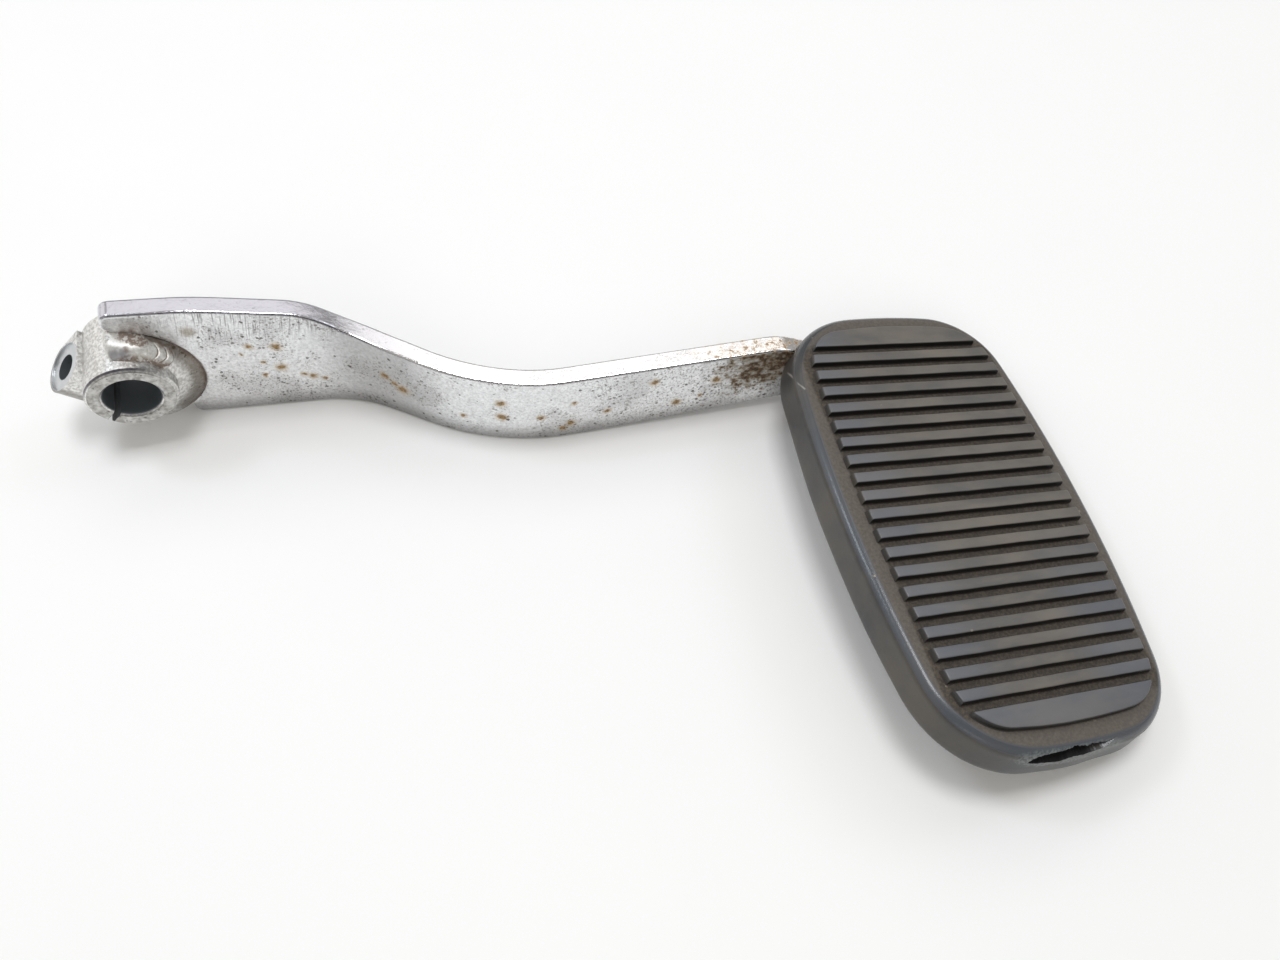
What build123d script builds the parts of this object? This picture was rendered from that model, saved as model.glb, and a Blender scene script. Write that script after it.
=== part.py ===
from build123d import *
from math import cos, radians, sin, tan
import os

os.makedirs("parts", exist_ok=True)

# Rear brake pedal, in millimetres. X runs from the pivot to the pad, Y runs inboard and Z up.
# The origin is on the pivot axis, in the outboard end face of the hub.

# Main sizes: pivot to the middle of the pad, the arm's step outboard, and the pad
pedal_reach = 189.4
side_step = 25.54
pad_length = 120.8
pad_width = 68.4
pad_slope = 15.84
pad_drop = 0.7
pad_past_arm = 10.12

# Hub: a tube end that is split and clamped on a shaft
hub_diameter = 22.0
hub_length = 20.0
bore_diameter = 13.6
rim_chamfer = 0.8
bore_chamfer = 0.7
slot_angle = 221.0
slot_width = 1.6

# Shoulder of the hub, which the end of the arm is shaped round
shoulder_diameter = 33.6
shoulder_drop = 3.0
shoulder_start = 3.5
shoulder_face = 8.0
shoulder_depth = 7.0
shoulder_cut_angle = 37.0
shoulder_cut_reach = 13.5

# Pinch lug, with a spot-faced seat on one ear and a tapped hole in the other
lug_reach = 10.8
lug_root = 4.0
lug_width = 13.6
seat_height = 10.9
seat_diameter = 12.6
seat_sink = 0.5
ear_depth = 8.0
bolt_hole_diameter = 6.6
tap_hole_diameter = 5.0

# Arm in plan: a flat bar on edge, with three straight runs and two bends
arm_thickness = 5.4
arm_setback = 9.6
toe_out_angle = 8.4
first_bend_x = 51.6
first_bend_radius = 40.0
swing_angle = 37.4
second_bend_radius = 64.0
tail_angle = 4.2
arm_edge_round = 0.8

# Top edge of the arm in side view, from the nose over the hub to the seat under the plate
nose_x = -1.0
nose_height = 6.5
nose_round = 3.0
brow_x = 20.0
brow_fall = 0.9
brow_round = 80.0
dip_x = 45.5
dip_z = 14.2
dip_round = 30.0
waist_x = 57.5
waist_z = 6.8
waist_round = 30.0
back_share = 0.415
back_z = 2.2
back_round = 150.0
crest_before_pad = 29.4
crest_z = 1.8
crest_round = 14.0
seat_before_pad = 16.4
seat_round = 14.0
tip_past_pad = 13.6

# Bottom edge of the arm in side view, level where the pedal stands on it
heel_share = 0.58
heel_z = -21.0
heel_round = 2.0
sole_z = -21.3
sole_start_x = 60.0
sole_share = 0.5
sole_round = 120.0
tail_bottom_z = -18.8
tail_round = 120.0
tip_round = 2.0

# Weld bead in the corner between hub and arm
bead_start_angle = 16.0
bead_end_angle = 97.0
bead_near = 2.6
bead_over = 1.4
bead_crown = 1.1

# Pad: a steel plate in a moulded rubber boot, with its long side along the pivot axis
pad_side_radius = 320.0
pad_end_radius = 150.0
pad_left_corner = 24.0
pad_right_corner = 19.5
border_width = 5.8
tread_side_radius = 430.0
tread_end_radius = 140.0
tread_corner = 12.0
tread_height = 1.8
bar_pitch = 5.0
land_length = 7.1
groove_width = 2.1
rubber_cover = 3.0
plate_thickness = 4.2
boot_wall = 3.5
boot_clearance = 0.1
lip_thickness = 3.0
lip_width = 6.0
boot_edge_round = 3.0
lip_edge_round = 1.2
arm_notch_clearance = 0.4

# Bead under the plate, along the outboard face of the arm
plate_bead_leg = 4.0
plate_bead_before_pad = 12.4
plate_bead_past_pad = 10.6

# Tear through the outboard end wall of the boot; its ragged outline is in shares of length and height
tear_length = 20.4
tear_height = 5.6
tear_across = -3.6
tear_depth = 5.0
tear_outline = (
    (-0.50, -0.22), (-0.48, 0.30), (-0.36, 0.46), (-0.16, 0.42), (0.06, 0.50), (0.30, 0.44),
    (0.50, 0.30), (0.42, -0.10), (0.20, -0.28), (0.02, -0.20), (-0.06, -0.50), (-0.30, -0.36),
)

hub_radius = hub_diameter / 2
shoulder_radius = shoulder_diameter / 2
nose_top = shoulder_radius - shoulder_drop + nose_height
brow_z = nose_top - brow_fall
heel_x = heel_share * shoulder_radius
lug_y = hub_length - lug_width / 2
margin = 5.0

# Places along the arm, worked out from the reach
pad_x = pedal_reach
pad_z = -pad_drop
pad_half_width = pad_width / 2
pad_half_length = pad_length / 2
crest_x = pad_x - crest_before_pad
seat_start_x = pad_x - seat_before_pad
arm_tip_x = pad_x + tip_past_pad
back_x = waist_x + back_share * (crest_x - waist_x)
tail_x = crest_x
sole_end_x = sole_start_x + sole_share * (tail_x - sole_start_x)
second_bend_x = first_bend_x + side_step / tan(radians(swing_angle))
plate_bead_start_x = pad_x - plate_bead_before_pad
plate_bead_end_x = pad_x + plate_bead_past_pad
tread_half_width = pad_half_width - border_width
tread_half_length = pad_half_length - border_width
bar_count = round(2 * (tread_half_length - land_length) / bar_pitch)


def slab(face, y_near, y_far):
    """Extrude a face drawn in X and Z from one Y to another."""
    return extrude(Plane.XZ.offset(-y_near) * face, amount=y_near - y_far)


def height_on_plate(x):
    """Height of the plate's underside above or below the pivot, at a given X."""
    depth = tread_height + rubber_cover + plate_thickness
    return pad_z - depth / cos(radians(pad_slope)) - (x - pad_x) * tan(radians(pad_slope))


# Plan path of the arm's outboard face: points where the straight runs cross
start_y = arm_setback - nose_x * tan(radians(toe_out_angle))
first_bend_y = arm_setback - first_bend_x * tan(radians(toe_out_angle))
second_bend_y = first_bend_y - side_step


def tail_y(x):
    """Y of the outboard face on the last straight run of the arm."""
    return second_bend_y - (x - second_bend_x) * tan(radians(tail_angle))


pad_y = tail_y(pad_x) + pad_past_arm - pad_half_length
far_x = pad_x + pad_half_width + margin
near_x = nose_x - margin
near_y = start_y + margin * tan(radians(toe_out_angle))
face_path = FilletPolyline(
    (near_x, near_y),
    (first_bend_x, first_bend_y),
    (second_bend_x, second_bend_y),
    (far_x, tail_y(far_x)),
    radius=(first_bend_radius, second_bend_radius),
)


def arm_band(outboard, inboard):
    """Tall wall that follows the plan path, from one distance outboard of the face to one inboard."""
    turn = radians(toe_out_angle)
    across = (sin(turn), cos(turn), 0)
    start = Plane(origin=face_path @ 0, x_dir=across, z_dir=face_path % 0)
    tall = 2 * (nose_top - sole_z)
    section = Pos((inboard - outboard) / 2, 0) * Rectangle(inboard + outboard, tall)
    return sweep(start * section, path=face_path)


def arm_side(raised):
    """Side view of the arm: a top edge in runs and arcs, and a bottom edge that stands level."""
    top = FilletPolyline(
        (nose_x, nose_top + raised),
        (brow_x, brow_z + raised),
        (dip_x, dip_z + raised),
        (waist_x, waist_z + raised),
        (back_x, back_z + raised),
        (crest_x, crest_z + raised),
        (seat_start_x, height_on_plate(seat_start_x) + raised),
        (arm_tip_x + raised, height_on_plate(arm_tip_x + raised) + raised),
        radius=(brow_round, dip_round, waist_round, back_round, crest_round, seat_round),
    )
    bottom = FilletPolyline(
        (arm_tip_x + raised, tail_bottom_z),
        (tail_x, tail_bottom_z),
        (sole_end_x, sole_z),
        (sole_start_x, sole_z),
        (heel_x, heel_z),
        radius=(tail_round, sole_round, sole_round),
    )
    closing = Polyline(bottom @ 1, (heel_x, 0), (nose_x, 0), top @ 0)
    return make_face(top + Line(top @ 1, bottom @ 0) + bottom + closing)


def nearest_corner(sketch, x, z):
    """Corner of a sketch that lies nearest to a point."""
    return sketch.vertices().sort_by_distance((x, z, 0))[0]


# Pad outline, drawn about the middle of the tread: X across the pad, Y inboard along it
pad_plane = Plane(
    origin=(pad_x, pad_y, pad_z),
    x_dir=(cos(radians(pad_slope)), 0, -sin(radians(pad_slope))),
    z_dir=(sin(radians(pad_slope)), 0, cos(radians(pad_slope))),
)


def barrel(half_width, half_length, side_radius, end_radius, left_corner, right_corner):
    """Outline with bowed sides and ends, and one rounding for the corners on each side."""
    side_shift = side_radius - half_width
    end_shift = end_radius - half_length
    sides = (Pos(-side_shift, 0) * Circle(side_radius)) & (Pos(side_shift, 0) * Circle(side_radius))
    ends = (Pos(0, -end_shift) * Circle(end_radius)) & (Pos(0, end_shift) * Circle(end_radius))
    bowed = sides & ends
    bowed = fillet(bowed.vertices().group_by(Axis.X)[0], left_corner)
    return fillet(bowed.vertices().group_by(Axis.X)[-1], right_corner)


def pad_outline(inset):
    """Outline of the pad, moved inwards by an even distance."""
    return barrel(
        pad_half_width - inset,
        pad_half_length - inset,
        pad_side_radius - inset,
        pad_end_radius - inset,
        pad_left_corner - inset,
        pad_right_corner - inset,
    )


border_level = -tread_height
plate_top = border_level - rubber_cover
plate_bottom = plate_top - plate_thickness
boot_bottom = plate_bottom - lip_thickness


def pad_slab(face, low, high):
    """Extrude a face of the pad between two depths under the top of the tread."""
    return extrude(pad_plane.offset(low) * face, amount=high - low)


# Steel plate inside the boot
pad_plate = pad_slab(pad_outline(boot_wall), plate_bottom, plate_top)

# Arm: the plan wall cut to the side view, with a round seat for the hub's shoulder
side = arm_side(0.0)
shoulder_circle = Pos(0, -shoulder_drop) * Circle(shoulder_radius)
side -= shoulder_circle
side = fillet(nearest_corner(side, nose_x, nose_top), nose_round)
side = fillet(nearest_corner(side, nose_x, shoulder_radius - shoulder_drop), nose_round)
side = fillet(nearest_corner(side, heel_x, heel_z), heel_round)
side = fillet(nearest_corner(side, arm_tip_x, tail_bottom_z), tip_round)
reach_y = pad_half_length - pad_y
pedal_arm = arm_band(0, arm_thickness) & slab(side, -reach_y, reach_y)
long_edges = pedal_arm.edges().filter_by(Axis.Y, reverse=True).filter_by(Axis.Z, reverse=True)
pedal_arm = fillet(long_edges.sort_by(Axis.X), arm_edge_round)

# Hub: tube, flared shoulder and pinch lug, then the bore, slot and holes
tube_face = Circle(hub_radius)
hub = slab(tube_face, 0, hub_length)
hub = chamfer(hub.edges().filter_by(GeomType.CIRCLE), rim_chamfer)
flare = loft(
    [
        Plane.XZ.offset(-shoulder_start) * tube_face,
        Plane.XZ.offset(-shoulder_face) * shoulder_circle,
    ]
)
shoulder = flare + slab(shoulder_circle, shoulder_face, shoulder_face + shoulder_depth)
inward = Rectangle(shoulder_diameter, 2 * shoulder_diameter, align=(Align.MIN, Align.CENTER))
keep = Pos(nose_x, -shoulder_drop) * inward
below = Rectangle(2 * shoulder_diameter, shoulder_diameter, align=(Align.CENTER, Align.MAX))
under_cut = Rot(0, 0, -shoulder_cut_angle) * Pos(0, -shoulder_cut_reach) * below
shoulder &= slab(keep - under_cut, 0, hub_length)
hub += shoulder

turn = radians(slot_angle)
bolt_plane = Plane(
    origin=(0, lug_y, 0),
    x_dir=(cos(turn), 0, sin(turn)),
    z_dir=(sin(turn), 0, -cos(turn)),
)
lug_stem = Rectangle(lug_reach - lug_root, lug_width, align=(Align.MIN, Align.CENTER))
lug_face = Pos(lug_root, 0) * lug_stem + Pos(lug_reach, 0) * Circle(lug_width / 2)
lug_top = seat_height + seat_sink
hub += extrude(bolt_plane.offset(-ear_depth) * lug_face, amount=ear_depth + lug_top)

bolt_spot = Pos(lug_reach, 0)
hub -= extrude(bolt_plane.offset(seat_height) * bolt_spot * Circle(seat_diameter / 2), amount=margin)
hub -= extrude(bolt_plane * bolt_spot * Circle(bolt_hole_diameter / 2), amount=lug_top + margin)
hub -= extrude(bolt_plane * bolt_spot * Circle(tap_hole_diameter / 2), amount=-ear_depth)
slot_length = lug_reach + lug_width
slot_face = Pos(slot_length / 2, 0) * Rectangle(slot_length, 2 * hub_length + 2 * margin)
hub -= extrude(bolt_plane * slot_face, amount=slot_width / 2, both=True)
bore_radius = bore_diameter / 2
bore = slab(Circle(bore_radius), -margin, hub_length + margin)
for mouth, into in ((0, 1), (hub_length, -1)):
    wide = Plane.XZ.offset(-mouth) * Circle(bore_radius + bore_chamfer)
    narrow = Plane.XZ.offset(-mouth - into * bore_chamfer) * Circle(bore_radius)
    bore += loft([wide, narrow])
pivot_hub = hub - bore
pedal_arm -= pivot_hub
pedal_arm -= pad_plate

# Weld bead: a crowned corner section turned about the pivot axis, over the tube and against the arm
toe_y = arm_setback
bead_toe = shoulder_radius - shoulder_drop + bead_over
bead_mid_r = (hub_radius + bead_toe) / 2 + bead_crown
bead_mid_y = (bead_near + toe_y) / 2 - bead_crown
bead_face = make_face(
    ThreePointArc((hub_radius, bead_near), (bead_mid_r, bead_mid_y), (bead_toe, toe_y))
    + Polyline((bead_toe, toe_y), (hub_radius, toe_y), (hub_radius, bead_near))
)
bead_turn = bead_end_angle - bead_start_angle
bead = revolve(bead_face, axis=Axis.Y, revolution_arc=bead_turn)
bead = Rot(0, -bead_end_angle, 0) * bead
hub_weld = bead - pivot_hub - pedal_arm

# Bead under the plate: a triangle drawn across the corner of plate and arm
down = Vector(0, 0, -1)
outboard = Vector(-sin(radians(tail_angle)), -cos(radians(tail_angle)), 0)


def corner_point(x):
    """Point where the arm's outboard face meets the underside of the plate."""
    return Vector(x, tail_y(x), height_on_plate(x))


along = corner_point(plate_bead_end_x) - corner_point(plate_bead_start_x)
under_plate = along.cross(pad_plane.z_dir).normalized()
under_plate = under_plate if under_plate.dot(outboard) > 0 else under_plate * -1
on_arm = along.cross(outboard).normalized()
on_arm = on_arm if on_arm.dot(down) > 0 else on_arm * -1
root = corner_point(plate_bead_start_x)
bead_corners = [root, root + under_plate * plate_bead_leg, root + on_arm * plate_bead_leg]
bead_end = make_face(Polyline(*bead_corners, close=True))
plate_weld = extrude(bead_end, amount=along.length, dir=along.normalized())
plate_weld -= pad_plate
plate_weld -= pedal_arm

# Rubber boot: rounded body, tread bars, pocket for the plate, window under it, notch for the arm
boot = pad_slab(pad_outline(0), boot_bottom, border_level)
upper_edges = boot.faces().sort_by(Axis(pad_plane.origin, pad_plane.z_dir))[-1].edges()
boot = fillet(upper_edges, boot_edge_round)
lower_edges = boot.faces().sort_by(Axis(pad_plane.origin, pad_plane.z_dir))[0].edges()
boot = fillet(lower_edges, lip_edge_round)
tread_face = barrel(
    tread_half_width, tread_half_length, tread_side_radius, tread_end_radius, tread_corner, tread_corner
)
grooves = GridLocations(0, bar_pitch, 1, bar_count + 1) * Rectangle(2 * pad_half_width, groove_width)
boot += pad_slab(tread_face - grooves, border_level, 0)
boot -= pad_slab(pad_outline(boot_wall - boot_clearance), plate_bottom, plate_top)
boot -= pad_slab(pad_outline(boot_wall + lip_width), boot_bottom - margin, plate_bottom)
notch_side = slab(arm_side(arm_notch_clearance), -reach_y, reach_y)
boot -= arm_band(arm_notch_clearance, pad_half_width) & notch_side
bead_room = pad_slab(pad_outline(boot_wall), boot_bottom - margin, plate_bottom)
boot -= arm_band(plate_bead_leg + arm_notch_clearance, pad_half_width) & notch_side & bead_room
tear_plane = Plane(
    origin=pad_plane.from_local_coords((tear_across, -pad_half_length + boot_wall, -tear_depth)),
    x_dir=pad_plane.x_dir,
    z_dir=(0, -1, 0),
)
tear_points = [(along * tear_length, up * tear_height) for along, up in tear_outline]
tear_face = make_face(Polyline(*tear_points, close=True))
boot -= extrude(tear_plane * tear_face, amount=boot_wall + margin)
pad_rubber = boot

nodes = {
    "pedal_arm": pedal_arm,
    "pivot_hub": pivot_hub,
    "hub_weld": hub_weld,
    "pad_plate": pad_plate,
    "plate_weld": plate_weld,
    "pad_rubber": pad_rubber,
}
for name, solid in nodes.items():
    print(name, len(solid.solids()), round(solid.volume), solid.bounding_box().size)
    export_step(solid, f"parts/{name}.step")
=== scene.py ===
# %% [markdown]
# A rear brake pedal, dressed for a picture.
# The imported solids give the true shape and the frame: millimetres in the source, metres here.
# The pivot axis runs along Y, the arm runs out along X, and the pad stands outboard, towards -Y.

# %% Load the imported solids
import math
from functools import partial, reduce

import bmesh
import bpy
import numpy as np
from mathutils import Matrix, Vector


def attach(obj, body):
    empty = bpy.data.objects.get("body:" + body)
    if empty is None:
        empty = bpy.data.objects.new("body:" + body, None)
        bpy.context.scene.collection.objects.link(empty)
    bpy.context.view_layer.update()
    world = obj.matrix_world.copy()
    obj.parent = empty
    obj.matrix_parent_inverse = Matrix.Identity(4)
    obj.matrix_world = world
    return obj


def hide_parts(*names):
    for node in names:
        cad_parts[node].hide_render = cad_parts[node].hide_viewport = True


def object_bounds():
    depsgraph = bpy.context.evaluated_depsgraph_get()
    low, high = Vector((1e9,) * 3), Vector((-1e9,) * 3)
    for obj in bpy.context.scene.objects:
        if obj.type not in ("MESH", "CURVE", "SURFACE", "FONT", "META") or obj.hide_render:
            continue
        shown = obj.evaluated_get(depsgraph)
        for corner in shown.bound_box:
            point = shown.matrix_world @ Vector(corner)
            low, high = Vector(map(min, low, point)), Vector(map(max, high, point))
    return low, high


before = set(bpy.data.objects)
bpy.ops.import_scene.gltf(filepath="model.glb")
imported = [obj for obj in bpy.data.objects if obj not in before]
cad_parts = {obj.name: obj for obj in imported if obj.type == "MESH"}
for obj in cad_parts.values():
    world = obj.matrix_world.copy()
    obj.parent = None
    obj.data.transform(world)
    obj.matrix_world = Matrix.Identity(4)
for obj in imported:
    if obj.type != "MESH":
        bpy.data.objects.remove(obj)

MM = 0.001
scene = bpy.context.scene
cad_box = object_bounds()
print("solids:", sorted(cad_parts))


def add_object(data):
    """Put a mesh, a lamp or a camera into the scene, as an object at the origin with the same name."""
    thing = bpy.data.objects.new(data.name, data)
    scene.collection.objects.link(thing)
    return thing

# %% [markdown]
# The camera stands above the outboard side, where the whole pedal fits into the frame. A camera can be
# aimed by angles or at a target. Here its turn is written as three unit vectors, right, up and back,
# because those come straight out of matching the hub ring and the tread bars to the picture.

# %% Camera
camera_place = np.array([79.0, -189.3, 234.5])
azimuth, dip = math.radians(15.093), math.radians(59.374)
focal_pixels, picture_pixels = 1150, 1280
right = np.array([math.cos(azimuth), -math.sin(azimuth), 0.0])
level_ahead = np.array([math.sin(azimuth), math.cos(azimuth), 0.0])
ahead = level_ahead * math.cos(dip) - np.array([0.0, 0.0, math.sin(dip)])
pose = np.eye(4)
pose[:3, :3] = np.column_stack([right, np.cross(right, ahead), -ahead])
pose[:3, 3] = camera_place * MM
camera_data = bpy.data.cameras.new("camera")
camera_data.lens = camera_data.sensor_width * focal_pixels / picture_pixels
camera_data.clip_start = 0.01
camera = add_object(camera_data)
camera.matrix_world = Matrix(pose.tolist())
scene.camera = camera
scene.view_settings.view_transform = "Standard"
print("lens", round(camera_data.lens, 2), "mm")

# %% [markdown]
# A material is a small graph of nodes. Writing each node and link out takes many lines, so a helper
# class keeps one graph and offers the few operations that the finishes need: noise, spots, steps
# and mixes, all measured in millimetres on Object coordinates, so a pattern stays on its metal.

# %% Helper for finishes
class Finish:
    """One material. Every method that works something out adds a node and returns its output socket."""

    def __init__(self, name, **constants):
        self.material = bpy.data.materials.new(name)
        self.material.use_nodes = True
        self.tree = self.material.node_tree
        self.shader = self.tree.nodes["Principled BSDF"]
        self.wear(**constants)
        self.place = self.vector("SCALE", self.node("TexCoord").outputs["Object"], scale=1 / MM)
        self.normal = self.node("NewGeometry").outputs["Normal"]

    def feed(self, sockets, values):
        """Link sockets, or write constants into them; None leaves a socket as it is."""
        for socket, value in zip(sockets, values):
            if isinstance(value, bpy.types.NodeSocket):
                self.tree.links.new(value, socket)
            elif value is not None:
                socket.default_value = value

    def node(self, kind, **inputs):
        """Add a node of some kind, with its named inputs fed."""
        node = self.tree.nodes.new("ShaderNode" + kind)
        self.feed([node.inputs[name] for name in inputs], inputs.values())
        return node

    def vector(self, operation, a, b=None, scale=None):
        """One sum on vectors; a length, a distance or a dot product gives a number."""
        node = self.node("VectorMath")
        node.operation = operation
        self.feed(node.inputs, (a, b))
        if operation == "SCALE":
            self.feed([node.inputs["Scale"]], [scale])
        gives_number = operation in ("LENGTH", "DISTANCE", "DOT_PRODUCT")
        return node.outputs["Value" if gives_number else "Vector"]

    def maths(self, operation, a, b=None, c=None):
        """One sum on numbers."""
        node = self.node("Math")
        node.operation = operation
        self.feed(node.inputs, (a, b, c))
        return node.outputs[0]

    def axis(self, vector, letter):
        """One of the three numbers of a vector."""
        return self.node("SeparateXYZ", Vector=vector).outputs[letter]

    def ramp(self, value, low, high, to_low=0.0, to_high=1.0):
        """A smooth step: to_low below low, to_high above high."""
        node = self.node("MapRange")
        node.interpolation_type = "SMOOTHSTEP"
        self.feed(node.inputs, (value, low, high, to_low, to_high))
        return node.outputs[0]

    def falls(self, value, low, high):
        """A smooth step down: 1 below low, 0 above high."""
        return self.ramp(value, low, high, 1.0, 0.0)

    def lifted(self, base, mask, amount):
        """A number raised by the amount wherever the mask is."""
        return self.maths("MULTIPLY_ADD", mask, amount, base)

    def noise(self, size, detail=3.0, roughness=0.55, place=None, output="Fac"):
        """Soft random values about 0.5, with blotches of about the given size in millimetres."""
        place = place or self.place
        node = self.node("TexNoise", Vector=place, Scale=1 / size, Detail=detail, Roughness=roughness)
        return node.outputs[output]

    def warped(self, size, reach, place=None):
        """The same place, pushed about at random by up to the given reach, so that outlines turn ragged."""
        noise = self.noise(size, roughness=0.5, place=place, output="Color")
        around_zero = self.vector("SUBTRACT", noise, (0.5, 0.5, 0.5))
        return self.vector("ADD", place or self.place, self.vector("SCALE", around_zero, scale=2 * reach))

    def specks(self, spacing, radius, warp, share):
        """Ragged specks, one to a cell of the given spacing; only a share of the cells has one."""
        node = self.node("TexVoronoi", Vector=self.warped(*warp), Scale=1 / spacing)
        chance = self.axis(node.outputs["Color"], "X")
        size = self.both(self.axis(node.outputs["Color"], "Y"), radius / spacing)
        inside = self.maths("SUBTRACT", size, node.outputs["Distance"])
        dot = self.ramp(inside, 0.0, 0.3 * radius / spacing)
        return self.both(dot, self.maths("LESS_THAN", chance, share))

    def spots(self, rows, place, growth=1.0, soft=0.7):
        """Soft patches about several points; each row has X, Y and Z of a point and a radius."""
        patches = []
        for *centre, radius in rows:
            far = self.vector("DISTANCE", place, centre)
            patches.append(self.falls(far, growth * radius * (1 - soft), growth * radius * (1 + soft)))
        return self.most(*patches)

    def stroke(self, start, stop, radius):
        """A thin soft line between two points."""
        run = Vector(stop) - Vector(start)
        offset = self.vector("SUBTRACT", self.place, start)
        share = self.vector("DOT_PRODUCT", offset, tuple(run / run.length_squared))
        share = self.maths("MINIMUM", self.maths("MAXIMUM", share, 0.0), 1.0)
        gap = self.vector("DISTANCE", offset, self.vector("SCALE", tuple(run), scale=share))
        return self.falls(gap, 0.5 * radius, 1.5 * radius)

    def most(self, *masks):
        """The largest of several masks."""
        return reduce(partial(self.maths, "MAXIMUM"), masks)

    def both(self, *masks):
        """The product of several masks or numbers."""
        return reduce(partial(self.maths, "MULTIPLY"), masks)

    def mix(self, share, first, second):
        """A blend of two colours, or of two numbers."""
        in_colour = isinstance(second, tuple) or getattr(second, "type", "") == "RGBA"
        kind = "RGBA" if in_colour else "VALUE"
        node = self.node("Mix")
        node.data_type = "RGBA" if in_colour else "FLOAT"
        ends = [socket for socket in node.inputs if socket.type == kind and socket.name in "AB"]
        self.feed((node.inputs[0], *ends), (share, first, second))
        return next(socket for socket in node.outputs if socket.type == kind)

    def layers(self, tone, rows):
        """Tones laid over one another; each row has a mask, a strength and a tone."""
        for mask, strength, upper in rows:
            tone = self.mix(self.both(mask, strength), tone, upper)
        return tone

    def bump(self, height, depth, under=None):
        """A normal tilted by a height map; depth is in millimetres."""
        return self.node("Bump", Distance=depth * MM, Height=height, Normal=under).outputs[0]

    def wear(self, **sockets):
        """Feed the shader's own sockets."""
        self.feed([self.shader.inputs[name.replace("_", " ")] for name in sockets], sockets.values())

    def tell(self):
        """Print how large the graph has grown."""
        print(self.material.name, len(self.tree.nodes), "nodes")

    def on(self, *things):
        """Put the finish on objects in place of what they have."""
        for thing in things:
            thing.data.materials.clear()
            thing.data.materials.append(self.material)
            print(self.material.name, "on", thing.name)
        self.tell()


def rgb(red, green, blue):
    """A colour written as it is read off a screen, 0 to 255, turned to linear light."""
    screen = np.array([red, green, blue]) / 255
    linear = np.where(screen <= 0.04045, screen / 12.92, ((screen + 0.055) / 1.055) ** 2.4)
    return (*linear.tolist(), 1.0)


print("mid grey in linear light:", round(rgb(128, 128, 128)[0], 3))

# %% [markdown]
# The pedal lies on a white table. A floor could curve up into a backdrop, but one wide flat sheet is
# enough, because the camera looks down on it. It lies a hair below the pedal, so no faces share a plane.

# %% Table
def new_mesh(name, points, faces):
    """A mesh from faces and points in millimetres, which may lie in a grid of any shape."""
    mesh = bpy.data.meshes.new(name)
    mesh.from_pydata((np.reshape(points, (-1, 3)) * MM).tolist(), [], faces)
    return mesh


table_gap, table_reach = 0.15, 4000.0
table_level = cad_box[0].z / MM - table_gap
corner_signs = np.array([(-1, -1, 0), (1, -1, 0), (1, 1, 0), (-1, 1, 0)])
table_corners = corner_signs * table_reach + (0, 0, table_level)
table = add_object(new_mesh("table", table_corners, [(0, 1, 2, 3)]))
white = Finish("white_table", Roughness=0.6)
white.wear(Base_Color=white.mix(white.noise(60.0), rgb(249, 249, 248), rgb(252, 252, 251)))
white.on(table)
print("table at", round(table_level, 2), "mm")

# %% [markdown]
# One ceiling lamp gives the shadows, and a weak lamp in front fills them. A pale panel behind is what
# the polished top of the arm mirrors, and another stands low on the left for the hub. Two bluish
# windows put a sheen on the rubber. All are soft rectangles, because a room has no hard points of light.

# %% Lamps
def add_lamp(name, place, aim, size, power, tint):
    """A soft lamp of some width and height that looks from one place at another, all in metres."""
    lamp_data = bpy.data.lights.new(name, "AREA")
    lamp_data.shape = "RECTANGLE"
    lamp_data.size, lamp_data.size_y = size
    lamp_data.energy = power
    lamp_data.color = tint
    lamp = add_object(lamp_data)
    lamp.location = place
    lamp.rotation_euler = (Vector(place) - Vector(aim)).to_track_quat("Z", "Y").to_euler()
    print(name, power, "W")


window_blue = (0.80, 0.90, 1.0)
add_lamp("ceiling_lamp", (0.15, 0.04, 1.30), (0.12, -0.06, 0.0), (0.4, 0.4), 5.9, (0.98, 0.985, 1.0))
add_lamp("front_fill", (-0.40, -1.20, 1.10), (0.08, -0.05, 0.0), (0.7, 0.7), 3.4, (1.0, 0.99, 0.98))
add_lamp("back_panel", (0.40, 0.60, 0.74), (0.40, 0.0, 0.0), (1.4, 0.34), 1.2, (1.0, 0.99, 1.0))
add_lamp("left_panel", (-0.90, 0.80, 0.45), (0.0, 0.0, 0.0), (0.8, 0.8), 1.5, (1.0, 0.98, 0.96))
add_lamp("right_window", (0.90, 0.16, 0.78), (0.17, -0.10, 0.0), (0.34, 0.34), 0.9, window_blue)
add_lamp("left_window", (-0.42, 0.34, 0.84), (0.16, -0.08, 0.0), (0.22, 0.22), 1.5, window_blue)

# %% [markdown]
# The rest of the room is a plain light grey that turns a little brighter and warmer overhead. A ramp
# over the height of the view direction gives it, with no picture of a room.

# %% Sky
world = bpy.data.worlds.new("pale_room")
scene.world = world
world.use_nodes = True
sky = world.node_tree
sky_height = sky.nodes.new("ShaderNodeSeparateXYZ")
sky_ramp = sky.nodes.new("ShaderNodeValToRGB")
sky_steps = [(0.40, (0.35, 0.345, 0.335, 1.0)), (0.95, (0.46, 0.445, 0.415, 1.0))]
for element, step in zip(sky_ramp.color_ramp.elements, sky_steps):
    element.position, element.color = step
sky.links.new(sky.nodes.new("ShaderNodeTexCoord").outputs["Generated"], sky_height.inputs[0])
sky.links.new(sky_height.outputs["Z"], sky_ramp.inputs[0])
sky.links.new(sky_ramp.outputs[0], sky.nodes["Background"].inputs["Color"])
print("sky steps:", len(sky_steps))

# %% [markdown]
# Polished metal looks like what stands round it. A dark card on the camera's side gives the
# arm's top edge its thin dark line; it is seen only in reflections, as a studio flag would be.

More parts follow.
